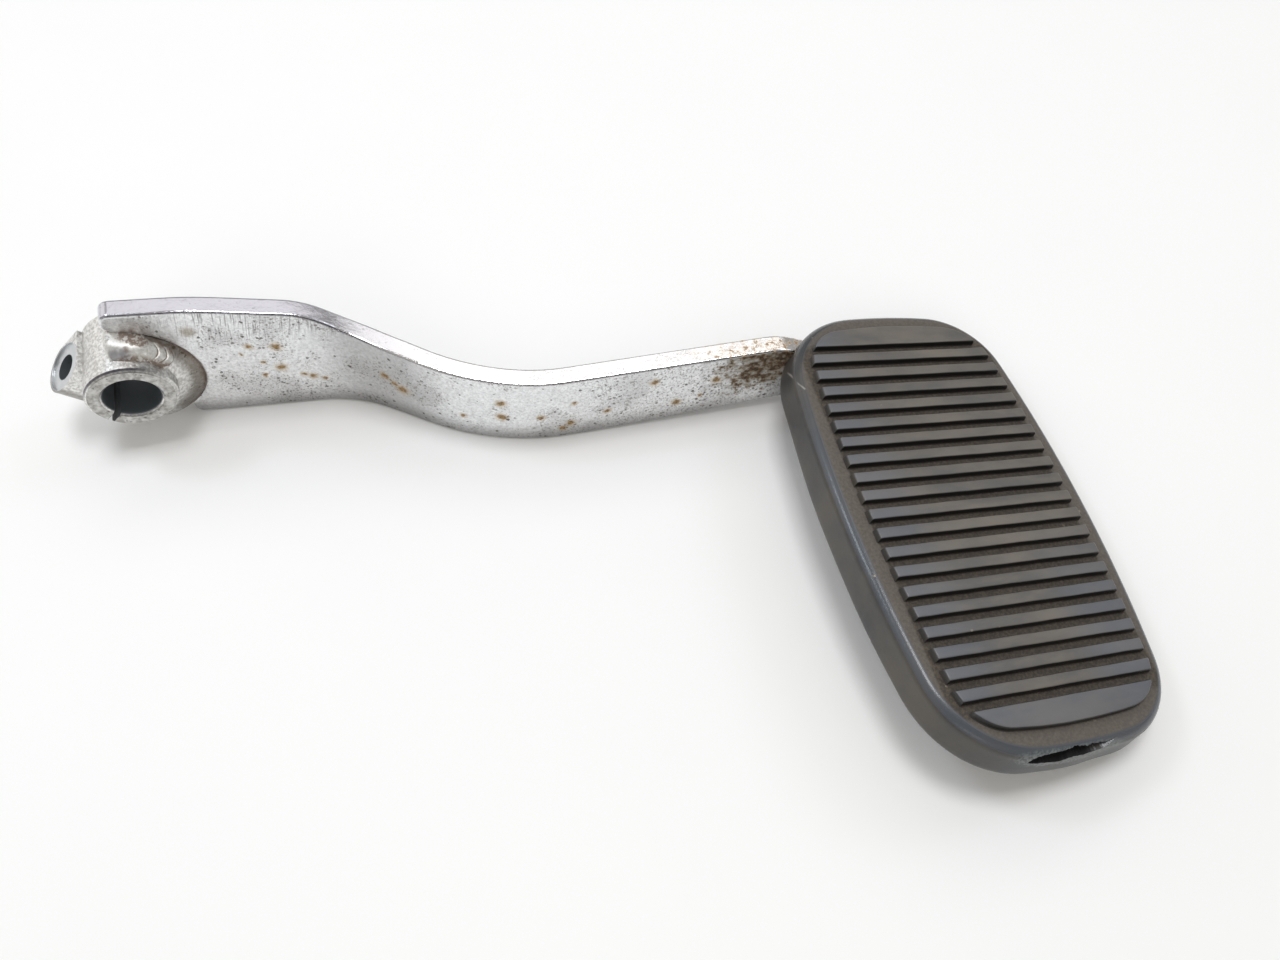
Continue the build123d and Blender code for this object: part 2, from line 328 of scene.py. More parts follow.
# %% Dark card
card_corners = [(-550, -800, 520), (750, -800, 520), (750, -450, 850), (-550, -450, 850)]
card = add_object(new_mesh("dark_card", card_corners, [(0, 1, 2, 3)]))
card.visible_camera = card.visible_shadow = card.visible_diffuse = False
felt = Finish("dark_felt", Roughness=0.9)
felt.wear(Base_Color=felt.mix(felt.noise(40.0), rgb(40, 34, 44), rgb(58, 52, 62)))
felt.on(card)

# %% [markdown]
# The arm is a flat steel bar, bent and chromed. Its top edge is polished and mirrors the ceiling.
# Its flanks were only ground before plating, so they are satin and cloudy. Two materials could be laid
# on two sets of faces, but the bar's mesh stays as it is, so one finish tells top from flank by the normal.

# %% Chrome of the arm
chrome = Finish("arm_chrome")
along_x, along_z = (chrome.axis(chrome.place, letter) for letter in "XZ")
facing_up = chrome.ramp(chrome.axis(chrome.normal, "Z"), 0.35, 0.75)
flank = chrome.maths("SUBTRACT", 1.0, facing_up)
cloud = chrome.noise(11.0, detail=4.0)
mottle = chrome.noise(0.9, detail=5.0, roughness=0.7)
fine = chrome.noise(0.45)
crust = chrome.noise(1.8, detail=5.0, roughness=0.68)
chrome.tell()

# %% [markdown]
# Grinding leaves fine scratches up and down the flank. Noise stretched along Z gives them, and a zone
# keeps them high up near the hub. Where the plating has broken there are pits: specks, one to a cell,
# pushed out of round. Finer pits and flecks lie between them, more thickly towards the pad.

# %% Grinding scratches and pits
scratch_way, scratch_stretch = (1.0, 0.0, -0.22), 0.05
streaks = chrome.node(
    "CombineXYZ",
    X=chrome.vector("DOT_PRODUCT", chrome.place, scratch_way),
    Z=chrome.both(along_z, scratch_stretch),
)
scratched = chrome.both(
    chrome.ramp(chrome.noise(0.34, detail=2.0, place=streaks.outputs[0]), 0.5, 0.68),
    chrome.ramp(along_x, 6.0, 24.0),
    chrome.ramp(along_x, 48.0, 66.0, 1.0, 0.25),
    chrome.ramp(chrome.lifted(along_z, cloud, 10.0), 8.0, 19.0),
    flank,
)
pits = chrome.both(
    chrome.specks(1.7, 0.60, warp=(0.8, 0.45), share=0.55),
    chrome.ramp(flank, 0.0, 1.0, 0.1, 1.0),
    chrome.ramp(crust, 0.40, 0.54),
)
speckled = chrome.most(chrome.ramp(cloud, 0.44, 0.60), chrome.ramp(along_x, 96.0, 126.0))
fine_pits = chrome.both(chrome.specks(0.95, 0.5, warp=(0.6, 0.35), share=0.5), speckled, flank)
flecks = chrome.both(
    chrome.ramp(chrome.noise(0.55, detail=2.0, place=chrome.warped(0.5, 0.25)), 0.55, 0.62),
    chrome.ramp(speckled, 0.0, 1.0, 0.3, 1.0),
    flank,
)
chrome.tell()

# %% [markdown]
# Rust has broken through in single spots along the arm, and near the pad it has crept out from under
# the chrome. The spots are placed one by one, each with a paler halo. The patch is crusty noise that is
# lifted towards the pad, so it thickens by itself, and the same noise dots the polished top there.

# %% Rust on the arm
rust_spots = [
    (27.5, 5.6, 1.2, 0.4), (30.0, 5.2, 4.1, 0.7), (31.0, 5.0, -8.0, 0.5), (32.0, 4.9, -2.4, 0.5),
    (35.8, 4.3, -5.2, 0.95), (36.6, 4.2, 3.1, 0.95), (40.7, 3.6, -9.1, 0.6), (42.6, 3.2, -10.0, 0.7),
    (45.3, 2.7, -11.3, 0.6), (61.0, -5.2, -5.5, 0.9), (62.8, -6.5, -7.6, 0.8), (64.5, -7.9, -9.3, 1.2),
    (78.0, -17.3, -12.7, 0.6), (87.6, -21.5, -11.2, 1.0), (87.9, -21.6, -5.2, 0.9),
    (97.2, -24.1, -11.7, 0.7), (102.6, -24.8, -17.2, 0.7), (104.7, -25.0, -15.6, 0.8),
    (105.9, -25.1, -7.0, 0.5), (114.3, -25.7, -12.7, 0.7), (126.8, -26.6, -3.4, 0.8),
    (132.5, -27.0, -13.6, 0.8), (138.8, -27.5, -12.2, 0.5), (142.9, -27.8, -6.3, 0.9),
]
ragged_place = chrome.warped(1.6, 0.9)
stain = chrome.spots([(17.8, 7.0, 12.0, 1.7)], ragged_place)
small_rust = chrome.spots(rust_spots, ragged_place, soft=0.4)
rust_halo = chrome.spots(rust_spots, ragged_place, growth=1.8, soft=0.5)
patch_zone = chrome.both(chrome.ramp(along_x, 134.0, 153.0), chrome.ramp(along_z, -20.0, -5.0), flank)
patch_halo = chrome.ramp(chrome.lifted(crust, patch_zone, 0.36), 0.62, 0.82)
patch = chrome.ramp(chrome.lifted(crust, patch_zone, 0.26), 0.70, 0.80)
top_zone = chrome.both(chrome.ramp(along_x, 118.0, 150.0), facing_up)
top_halo = chrome.both(chrome.ramp(chrome.lifted(crust, top_zone, 0.22), 0.62, 0.80), top_zone)
top_dots = chrome.both(chrome.ramp(chrome.lifted(crust, top_zone, 0.20), 0.76, 0.82), top_zone)
rusty = chrome.most(chrome.both(small_rust, 0.85), patch, chrome.both(top_dots, 0.8))
print("rust spots:", len(rust_spots))

# %% [markdown]
# Tones are laid over one another in the order in which they came to the metal: the plating first, then
# scratches, stains and pits, and the rust last. The plating's own tones hold painted shade in the bend
# and along the bottom of the flank, and a painted reflection on the top near the hub. Each layer is a
# mask, a strength and a tone, so one loop lays them all. The same masks take the shine away, because rust
# is no longer a metal.

# %% Colour of the plating and of the rust
# Painted shade: the flank is painted darker in the bend, where it turns away and mirrors darker
# surroundings.
bend_shade = chrome.both(chrome.ramp(along_x, 42.0, 56.0), chrome.falls(along_x, 64.0, 78.0))
satin = chrome.mix(chrome.ramp(mottle, 0.3, 0.7), rgb(217, 217, 219), rgb(252, 253, 254))
satin = chrome.layers(satin, [
    (chrome.ramp(cloud, 0.5, 0.68), 0.4, rgb(184, 183, 184)),
    (bend_shade, 0.5, rgb(146, 145, 145)),
    # Painted shade: the flank is painted darker towards its bottom edge, a painted reflection of the shadow
    # under the arm.
    (chrome.falls(along_z, -21.0, -13.5), 0.6, rgb(112, 110, 108)),
])
# The top is polished; its greyer, lavender tone towards the hub is a painted reflection.
polished_and_reflection = chrome.mix(chrome.ramp(along_x, 38.0, 84.0), rgb(204, 203, 211), rgb(250, 250, 251))
plated = chrome.layers(chrome.mix(facing_up, satin, polished_and_reflection), [
    (scratched, 0.75, rgb(110, 108, 108)),
    (stain, 0.55, rgb(140, 122, 88)),
    (rust_halo, 0.5, rgb(180, 152, 98)),
    (flecks, 0.55, rgb(106, 100, 92)),
    (fine_pits, 0.75, rgb(92, 86, 78)),
    (pits, 0.85, rgb(66, 58, 48)),
    (patch_halo, 0.75, rgb(126, 112, 84)),
    (top_halo, 0.35, rgb(222, 190, 142)),
])
spot_tone = chrome.mix(chrome.ramp(fine, 0.4, 0.62), rgb(110, 80, 40), rgb(174, 138, 78))
patch_tone = chrome.mix(chrome.ramp(fine, 0.42, 0.66), rgb(58, 44, 34), rgb(122, 94, 66))
rust_tone = chrome.layers(spot_tone, [(patch, 1.0, patch_tone), (facing_up, 0.8, rgb(150, 108, 54))])
chrome.tell()

# %% Gloss and relief of the chrome
dull = chrome.most(rusty, chrome.both(patch_halo, 0.6), chrome.both(pits, 0.8))
plating_roughness = chrome.mix(facing_up, chrome.mix(fine, 0.22, 0.38), 0.11)
relief = chrome.bump(mottle, 0.05, chrome.bump(cloud, 0.3))
relief = chrome.bump(chrome.most(dull, scratched), -0.04, relief)
chrome.wear(
    Base_Color=chrome.mix(rusty, plated, rust_tone),
    Metallic=chrome.mix(dull, 1.0, 0.15),
    Roughness=chrome.mix(dull, plating_roughness, 0.75),
    Normal=relief,
)
chrome.on(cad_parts["pedal_arm"])

# %% [markdown]
# The hub is one forging: a tube end that was turned bare on its ring face, satin elsewhere, with a
# spot-faced seat for the pinch bolt. The bore, the slot and the bolt hole are painted nearly black, a
# painted shade inside them. One finish serves it all: distances from the pivot axis, the slot and the bolt
# tell which part a point is on.

# %% Places on the hub
slot_turn = math.radians(221.0)
bore_radius, slot_half, lug_reach, bolt_row = 6.8, 0.8, 10.8, 13.2
hole_radius, ear_depth, seat_height, seat_radius = 3.3, 8.0, 10.9, 6.3
slot_way = (math.cos(slot_turn), 0.0, math.sin(slot_turn))
bolt_up = (math.sin(slot_turn), 0.0, -math.cos(slot_turn))
bolt_foot = (lug_reach * slot_way[0], bolt_row, lug_reach * slot_way[2])

hub = Finish("hub_steel")
hub_x, hub_y, hub_z = (hub.axis(hub.place, letter) for letter in "XYZ")
flat_place = hub.vector("MULTIPLY", hub.place, (1.0, 0.0, 1.0))
from_axis = hub.vector("LENGTH", flat_place)
lug_height = hub.vector("DOT_PRODUCT", hub.place, bolt_up)
lug_out = hub.vector("DOT_PRODUCT", hub.place, slot_way)
beside_bolt = hub.vector("CROSS_PRODUCT", hub.vector("SUBTRACT", hub.place, bolt_foot), bolt_up)
from_bolt = hub.vector("LENGTH", beside_bolt)
on_slot_side = hub.ramp(lug_out, 5.0, 6.0)
print("bolt foot at", [round(value, 2) for value in bolt_foot], "mm")

# %% Parts of the hub
in_bore = hub.falls(from_axis, bore_radius + 0.1, bore_radius + 0.35)
from_slot = hub.maths("ABSOLUTE", lug_height)
in_slot = hub.both(hub.falls(from_slot, slot_half + 0.02, slot_half + 0.1), on_slot_side)
in_hole = hub.both(
    hub.falls(from_bolt, hole_radius + 0.03, hole_radius + 0.1),
    hub.ramp(lug_height, -ear_depth - 0.2, -ear_depth + 0.1),
    on_slot_side,
)
# Painted shade: inside the bore, the slot and the bolt hole the metal is painted nearly black.
shaded_inside = hub.most(in_bore, in_slot, in_hole)
on_seat = hub.both(
    hub.ramp(lug_height, seat_height - 0.2, seat_height - 0.05),
    hub.falls(from_bolt, seat_radius, seat_radius + 0.2),
)
on_ring = hub.falls(hub_y, 0.05, 0.2)
# Painted reflection: the upper part of the chamfer is painted as a dark purple band.
chamfer_reflection = hub.both(
    hub.ramp(hub_y, 0.35, 0.5), hub.falls(hub_y, 0.8, 1.0),
    hub.ramp(hub_z, 1.0, 6.0), hub.ramp(hub_x, 3.0, 8.0, 1.0, 0.2),
)
on_shoulder = hub.both(hub.ramp(hub_y, 4.5, 6.5), hub.ramp(hub_x, 5.0, 9.0))
on_lug = hub.ramp(lug_out, 10.5, 12.5)
hub.tell()

# %% [markdown]
# The skin of a forging is pale and faintly bumpy, like orange peel. Grime gathers on the lug and on the
# shoulder beside the arm, and a rusty seam follows the weld. The turned ring and the seat each get a tone
# of their own, the inside gets a painted shade and the chamfer a painted reflection, laid on with the masks
# from above.

# %% Colours of the hub
peel = hub.noise(0.8, roughness=0.6)
blotch = hub.noise(2.2, detail=5.0, roughness=0.65)
grime = hub.ramp(hub.noise(1.5, detail=5.0, roughness=0.7), 0.52, 0.7)
grimy = hub.both(grime, hub.most(on_lug, on_shoulder), hub.ramp(blotch, 0.2, 0.8, 0.4, 0.8))
shoulder_dots = hub.both(on_shoulder, hub.specks(1.5, 0.6, warp=(0.7, 0.4), share=0.6))
ring_dots = hub.specks(0.9, 0.42, warp=(0.6, 0.3), share=0.6)
seam_middle = (0.0, 0.0, -3.0)
seam_out = hub.vector("DISTANCE", hub.warped(1.2, 0.8, flat_place), seam_middle)
seam = hub.both(hub.ramp(seam_out, 15.4, 16.8), hub.ramp(hub_x, 6.0, 12.0), hub.ramp(blotch, 0.34, 0.5))
body_tone = hub.mix(hub.ramp(peel, 0.35, 0.65), rgb(192, 190, 187), rgb(240, 239, 237))
body_tone = hub.layers(body_tone, [
    (on_shoulder, 0.75, rgb(112, 102, 90)),
    (grimy, 1.0, rgb(92, 84, 74)),
    (on_lug, 0.7, rgb(116, 110, 103)),
    (shoulder_dots, 0.75, rgb(64, 54, 44)),
])
ring_tone = hub.mix(hub.ramp(blotch, 0.35, 0.65), rgb(146, 143, 138), rgb(202, 201, 198))
# Painted shade in the slot, paler near the bore and darker further out.
slot_shade_tone = hub.mix(hub.ramp(from_axis, 8.0, 9.5), rgb(76, 82, 86), rgb(34, 36, 38))
hub_tone = hub.layers(body_tone, [
    (on_ring, 1.0, hub.layers(ring_tone, [(ring_dots, 0.7, rgb(84, 80, 76))])),
    (chamfer_reflection, 0.75, rgb(84, 78, 92)),
    (on_seat, 1.0, hub.mix(blotch, rgb(192, 195, 198), rgb(230, 232, 234))),
    (seam, 0.75, rgb(92, 66, 44)),
    (shaded_inside, 1.0, hub.mix(in_slot, rgb(82, 88, 92), slot_shade_tone)),
])
hub.wear(
    Base_Color=hub_tone,
    Metallic=hub.mix(hub.most(shaded_inside, hub.both(seam, 0.7)), 1.0, 0.1),
    Roughness=hub.mix(shaded_inside, hub.mix(peel, 0.24, 0.40), 0.6),
    Normal=hub.bump(peel, 0.09, hub.bump(blotch, 0.12)),
)
hub.on(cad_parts["pivot_hub"])

# %% [markdown]
# New pieces are grids of points worked out as whole arrays. Each grid here is a tube: its columns close
# on themselves, and a cap shuts each end, so every piece is a closed shell with its faces outwards.

# %% Mesh helpers
def tube_faces(rows, columns, flip=False, tubes=1):
    """Faces of one or more tubes: quads between the rows of points, and a cap over each end row.

    A point has the number row times columns plus column, counted on from tube to tube. Each quad goes
    from a point to the next column and the next row. Flip turns all faces the other way.
    """
    row, column = np.meshgrid(np.arange(rows - 1), np.arange(columns), indexing="ij")
    here, beside = row * columns + column, row * columns + (column + 1) % columns
    quads = np.stack([here, beside, beside + columns, here + columns], -1).reshape(-1, 4)
    caps = np.stack([np.arange(columns)[::-1], (rows - 1) * columns + np.arange(columns)])
    starts = np.arange(tubes)[:, None, None] * rows * columns
    way = -1 if flip else 1
    sides, ends = ((starts + kind[:, ::way]).reshape(-1, kind.shape[1]).tolist() for kind in (quads, caps))
    return sides + ends


def add_piece(name, points, faces, slot):
    """Add a smooth piece of the pedal from points in millimetres and faces, and let it ride."""
    mesh = new_mesh(name, points, faces)
    mesh.validate()
    mesh.update()
    mesh.shade_smooth()
    piece = add_object(mesh)
    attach(piece, "root")
    print(name, len(mesh.vertices), "points", len(mesh.polygons), "faces")
    return piece


print("a tube of 3 rows and 4 columns has", len(tube_faces(3, 4)), "faces")

# %% [markdown]
# A weld bead runs in the corner between hub and arm. A welder lays it drop by drop, so it has
# crescent ripples, and here its crown was ground flat in one place. A crowned section carried
# round the pivot axis gives the bead; the ripples are real grooves, and each point remembers how deep
# in a groove it is, so that the finish can darken them.

# %% Weld bead at the hub
def bell(value, width):
    """A bump of height 1 about zero: exp of minus (value / width) squared."""
    return np.exp(-((value / width) ** 2))


def drawn_in(share, first, last, least):
    """How full a bead is: 1 along its way, falling on a quarter circle over the first and last shares."""
    ends = np.clip(np.minimum(share / first, (1 - share) / last), 0, 1)
    return np.sqrt(np.clip(1 - (1 - ends) ** 2, least, 1))


def ripples(laid, t, delay, width):
    """Grooves between drops: a bell at each whole number of drops laid, delayed towards both toes."""
    return bell(np.sin(np.pi * (laid - delay * (2 * t - 1) ** 2)), width)


def hub_bead(stations=190, around=31):
    """Section of the bead carried round the pivot axis, with the depth of its ripples.

    Along the way, the turn goes from the low end of the bead to the high end, and the section draws
    in at both ends. Across, t goes from the tube to the arm: radius and depth run straight from toe to
    toe, plus a crown of sin(pi t). The ripples die out half way along, and near the high end the crown
    is ground flat. Three points behind close the section inside the metal.
    """
    low_end, sweep, mean_radius, pitch = 19.0, 83.0, 13.0, 2.0
    tube_radius, arm_depth, rise, run, arm_lean = 10.9, 9.1, 3.2, 6.3, 0.10
    crown_out, crown_forward, crown_height, ripple_depth, flat_depth = 0.72, 0.69, 1.45, 0.26, 0.55
    back_radius, back_out, back_deep = 10.7, np.array([3.7, 3.8, -0.5]), np.array([1.1, 2.9, 2.9])
    share, t = np.linspace(0, 1, stations)[:, None], np.linspace(0, 1, around - 3)[None, :]
    turn = np.radians(low_end + sweep * share)
    full = drawn_in(share, first=0.12, last=0.22, least=0.003)
    waver = 0.12 * np.sin(13 * share + 0.5) + 0.07 * np.sin(29 * share)
    lumps = 0.16 * np.sin(10 * share + 3 * t) + 0.07 * np.sin(7 * t - 19 * share)
    laid = mean_radius * turn / pitch + 0.2 * np.sin(9 * share)
    arch = np.sin(np.pi * t)
    groove = ripples(laid, t, delay=1.1, width=0.34) * np.clip((0.52 - share) / 0.25, 0.06, 1) * arch ** 0.4
    flat = bell(share - 0.80, 0.14) * bell(t - 0.34, 0.26)
    crown = ((crown_height + lumps) * arch - ripple_depth * groove - flat_depth * flat) * full
    radius = tube_radius + (rise + waver) * t * full + crown_out * crown
    depth = arm_depth - (run + waver) * (1 - t) * full - crown_forward * crown
    depth = depth - arm_lean * radius * np.cos(turn) * t
    radius = np.concatenate([radius, back_radius + back_out * full], 1)
    depth = np.concatenate([depth, arm_depth + back_deep * full], 1)
    points = np.stack([radius * np.cos(turn), depth, radius * np.sin(turn)], -1)
    return points, tube_faces(stations, around), np.pad(groove, ((0, 0), (0, 3)))


def add_bead(name, points, faces, groove):
    """A piece of weld whose points keep the depth of the ripples as an attribute."""
    piece = add_piece(name, points, faces, "weld_steel")
    piece.data.attributes.new("ripple", "FLOAT", "POINT").data.foreach_set("value", groove.ravel())
    return piece


bead = add_bead("hub_bead", *hub_bead())
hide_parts("hub_weld")

# %% [markdown]
# A second bead holds the plate on the arm, in the corner under the plate. It was laid in one
# straight run, so a rippled section like the first one's is carried along a line.

# %% Bead under the plate
corner_start, corner_stop = np.array([177.0, -30.315, -6.537]), np.array([200.0, -32.004, -13.063])
down_arm, under_plate = np.array([-0.2715, 0.0198, -0.9623]), np.array([-0.0678, -0.9975, 0.0193])


def plate_bead(stations=120, around=16):
    """Section of the bead carried along the corner between arm and plate, with the depth of its ripples.

    Across, t goes from a toe on the arm to a toe under the plate, on the straight line between them
    plus a crown of sin(pi t); the last point is the corner itself, sunk a little into the metal.
    """
    length, pitch, leg_length, crown_height, ripple_depth = 23.9, 2.1, 3.85, 0.75, 0.22
    toe_sink, corner_sink = 0.08, 0.1
    share, t = np.linspace(0, 1, stations)[:, None], np.linspace(0, 1, around - 1)[None, :]
    full = drawn_in(share, first=0.09, last=0.09, least=0.01)
    arch = np.sin(np.pi * t)
    laid = length * share / pitch + 0.2 * np.sin(8 * share)
    groove = ripples(laid, t, delay=0.9, width=0.36) * arch ** 0.4
    leg = (leg_length + 0.15 * np.sin(11 * share) + 0.08 * np.sin(23 * share + 1.0)) * full
    lumps = 0.10 * np.sin(9 * share + 2 * t)
    crown = ((crown_height + lumps) * arch - ripple_depth * groove) * full - toe_sink
    outward = (down_arm + under_plate) / math.sqrt(2)
    corner = corner_start + share[..., None] * (corner_stop - corner_start)
    skin = corner + (leg * (1 - t))[..., None] * down_arm + (leg * t)[..., None] * under_plate
    skin = skin + crown[..., None] * outward
    points = np.concatenate([skin, corner - corner_sink * outward], 1)
    return points, tube_faces(stations, around, flip=True), np.pad(groove, ((0, 0), (0, 1)))


under_bead = add_bead("plate_bead", *plate_bead())
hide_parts("plate_weld")

# %% [markdown]
# Weld metal is duller than the chrome. Rust sits along its toes, in dots and in the ripples, and the
# ground patch is painted a little darker, a painted reflection. Noise breaks every edge, so that nothing
# looks painted on.

# %% Weld finish
weld = Finish("weld_steel")
weld_blotch = weld.noise(1.1, detail=4.0, roughness=0.65)
ragged_weld = weld.warped(0.9, 0.6)
weld_ring = weld.vector("LENGTH", weld.vector("MULTIPLY", weld.place, (1.0, 0.0, 1.0)))
toe_out = weld.ramp(weld.maths("ADD", weld_ring, weld_blotch), 14.3, 14.7)
toe_in = weld.falls(weld.maths("ADD", weld.axis(weld.place, "Y"), weld_blotch), 3.7, 4.5)
rust_dots = [(3.5, 4.6, 12.9, 0.7), (8.6, 7.6, 11.0, 0.9), (10.4, 6.7, 9.4, 0.7), (12.6, 6.4, 7.0, 1.1)]
rusty_toes = weld.both(weld.most(toe_out, toe_in), weld.ramp(weld_blotch, 0.36, 0.54))
rusted = weld.most(rusty_toes, weld.both(weld.spots(rust_dots, ragged_weld), 0.8))
# The ground patch is real, but its darker, bluer tone is a painted reflection.
ground_patch_reflection = weld.spots([(0.4, 4.0, 12.4, 1.6), (2.6, 4.0, 12.1, 1.5)], ragged_weld)
ripple_mark = weld.node("Attribute")
ripple_mark.attribute_name = "ripple"
weld_tone = weld.mix(weld.ramp(weld_blotch, 0.3, 0.7), rgb(212, 209, 203), rgb(250, 249, 245))
weld_tone = weld.layers(weld_tone, [
    (ground_patch_reflection, 0.8, rgb(146, 146, 152)),
    (weld.ramp(ripple_mark.outputs["Fac"], 0.25, 0.85), 0.75, rgb(92, 72, 52)),
    (rusted, 0.85, weld.mix(weld.noise(0.5), rgb(66, 46, 32), rgb(118, 86, 58))),
])
weld.wear(
    Base_Color=weld_tone,
    Metallic=weld.mix(rusted, 0.8, 0.15),
    Roughness=weld.mix(rusted, weld.mix(weld_blotch, 0.40, 0.58), 0.7),
    Normal=weld.bump(weld_blotch, 0.05),
)
weld.on(bead, under_bead)

# %% [markdown]
# The pad is a steel plate with a moulded rubber boot stretched over it, tilted on the end of the arm.
# Its sides are bowed, with a round corner between each side and end. An outline could be drawn as a
# curve by hand, but arcs from the few radii keep it true, and each arc also knows its outward direction.

# %% Pad frame and outline
pad_middle = np.array([189.4, -81.506, -0.7])
pad_slope = math.radians(15.84)
slope_cos, slope_sin = math.cos(pad_slope), math.sin(pad_slope)
pad_axes = np.array([[slope_cos, 0.0, -slope_sin], [0.0, 1.0, 0.0], [slope_sin, 0.0, slope_cos]])


def on_pad_frame(points):
    """Turn places on the pad, across, along and up, into places in the pedal's frame."""
    return pad_middle + points @ pad_axes


def rounded_corner(side_centre, side_radius, end_centre, end_radius, round_radius):
    """The round corner, right and top, between a side and an end: its centre and the angles of its ends.

    It is as far from each centre as that circle's radius less its own, so it lies where two circles cross.
    Of the two crossings, it takes the one further right and up.
    """
    near, far = side_radius - round_radius, end_radius - round_radius
    gap = end_centre - side_centre
    span = np.hypot(*gap)
    along = (near ** 2 - far ** 2 + span ** 2) / (2 * span)
    aside = math.sqrt(near ** 2 - along ** 2)
    way = gap / span
    options = [side_centre + along * way + sign * aside * np.array([-way[1], way[0]]) for sign in (1, -1)]
    middle = max(options, key=np.sum)
    return middle, *(math.atan2(*(middle - centre)[::-1]) for centre in (side_centre, end_centre))


def barrel(half_width, half_length, side_radius, end_radius, left_round, right_round):
    """Points and outward directions along a bowed outline, one arc after another.

    Each arc is a centre plus radius times (cos, sin) of an angle that runs evenly between its ends. The
    corners are worked out on the right and top and mirrored to the other sides.
    """
    side_points, corner_points, end_points = 60, 26, 40
    side_centre = np.array([half_width - side_radius, 0.0])
    end_centre = np.array([0.0, half_length - end_radius])
    circles = side_centre, side_radius, end_centre, end_radius
    right_spot, right_low, right_high = rounded_corner(*circles, right_round)
    left_spot, left_low, left_high = rounded_corner(*circles, left_round)
    half, whole = math.pi, 2 * math.pi
    arcs = [
        (side_centre, side_radius, -right_low, right_low, side_points),
        (right_spot, right_round, right_low, right_high, corner_points),
        (end_centre, end_radius, right_high, half - left_high, end_points),
        (left_spot * (-1, 1), left_round, half - left_high, half - left_low, corner_points),
        (-side_centre, side_radius, half - left_low, half + left_low, side_points),
        (-left_spot, left_round, half + left_low, half + left_high, corner_points),
        (-end_centre, end_radius, half + left_high, whole - right_high, end_points),
        (right_spot * (1, -1), right_round, whole - right_high, whole - right_low, corner_points),
    ]
    angles = [np.linspace(start, stop, count, endpoint=False) for _, _, start, stop, count in arcs]
    ways = [np.stack([np.cos(angle), np.sin(angle)], -1) for angle in angles]
    points = [arc[0] + arc[1] * way for arc, way in zip(arcs, ways)]
    return np.concatenate(points), np.concatenate(ways)


pad_edge, pad_ways = barrel(
    half_width=34.2, half_length=60.4, side_radius=320.0, end_radius=150.0,
    left_round=24.0, right_round=19.5,
)
print("pad outline", len(pad_edge), "points", pad_edge.min(0).round(1), pad_edge.max(0).round(1))

# %% [markdown]
# The boot is one moulding that grips the plate: a rounded top edge, a wall that leans out a little
# where it has been stretched, a lip folded under, and a pocket inside. A section drawn as pairs of
# inset and height is carried round the outline, so every edge keeps its true rounding.

# %% Boot section and shell
border, plate_top, plate_bottom, boot_bottom = -1.8, -4.8, -9.0, -12.0
top_round, heel_round, lip_round = 3.0, 1.2, 1.0
lip_inset, pocket_inset, loose_from, loose_span = 9.5, 3.4, 4.0, 5.0


def round_edge(inset, height, radius, start, stop, steps):
    """Points on a circle arc of a section, between two angles in degrees."""
    angle = np.radians(np.linspace(start, stop, steps))
    return np.stack([inset - radius * np.cos(angle), height + radius * np.sin(angle)], -1)


section = np.concatenate([
    [[5.4, border], [4.4, border]],
    round_edge(top_round, border - top_round, top_round, 90, 0, 12),
    [[-0.1, -6.6], [-0.28, -8.4], [-0.42, -10.0]],
    round_edge(0.75, boot_bottom + heel_round, heel_round, 0, -90, 6),
    [[4.0, boot_bottom], [8.4, boot_bottom]],
    round_edge(lip_inset - lip_round, boot_bottom + lip_round, -lip_round, 90, 180, 5)[1:],
    [[lip_inset, plate_bottom], [6.0, plate_bottom]],
    [[pocket_inset, plate_bottom], [pocket_inset, plate_top]],
])


def boot_shell():
    """The section carried round the pad's outline.

    Each point is an outline point less the inset times its outward way, at the section's height. Low on
    the wall, where the rubber is loose, a sum of two sines round the outline makes it sway in and out.
    """
    turns = np.linspace(0, 2 * np.pi, len(pad_edge), endpoint=False)
    sway = 0.12 * np.sin(5 * turns + 1.0) + 0.08 * np.sin(11 * turns)
    inset, height = section[:, :1], section[:, 1:]
    loose = np.clip((-height - loose_from) / loose_span, 0, 1) * (inset < top_round)
    flat = pad_edge[None] - (inset - loose * sway)[..., None] * pad_ways[None]
    points = np.concatenate([flat, np.broadcast_to(height[..., None], (*flat.shape[:2], 1))], -1)
    return on_pad_frame(points), tube_faces(*points.shape[:2], flip=True)


boot = add_piece("pad_boot", *boot_shell(), "tread_rubber")

# %% [markdown]
# Two cuts go through the shell: the notch that lets the arm in under the plate, and the tear in
# the outboard end wall. Each cutter is a plain or ragged outline drawn out into a prism, and a
# Boolean modifier takes it away; the torn sides slope, so the opening narrows inwards.

# %% Cutter for the tear
def prism(name, near, far):
    """A solid between two outlines with the same number of points."""
    return add_object(new_mesh(name, [near, far], tube_faces(2, len(near))))


tear_across, tear_height, tear_size = -2.4, -5.0, (20.4, 5.6)
tear_corners = np.array([
    (-0.50, -0.12), (-0.48, 0.22), (-0.36, 0.38), (-0.16, 0.42), (0.06, 0.50), (0.30, 0.46), (0.57, 0.46),
    (0.42, 0.16), (0.20, -0.02), (0.02, -0.06), (-0.06, -0.28), (-0.30, -0.20), (-0.50, -0.12),
]) * tear_size
corner_numbers = np.arange(len(tear_corners))
tear_way = np.linspace(0, corner_numbers[-1], 240, endpoint=False)
tear_edge = np.stack([np.interp(tear_way, corner_numbers, values) for values in tear_corners.T], -1)
fray = 0.12 * np.sin(tear_way * 5.3) + 0.08 * np.sin(tear_way * 13.1 + 1.0)
fray = fray + 0.07 * np.sin(tear_way * 31.0 + 2.0)
quiet_tips = np.clip(3 * np.abs(np.sin(2 * np.pi * tear_way / corner_numbers[-1])), 0, 1)
fray = fray * (0.6 + 0.4 * np.sin(tear_way * 1.7)) * quiet_tips
tear_edge = tear_edge + np.stack([0.4 * np.roll(fray, 14), fray], -1)


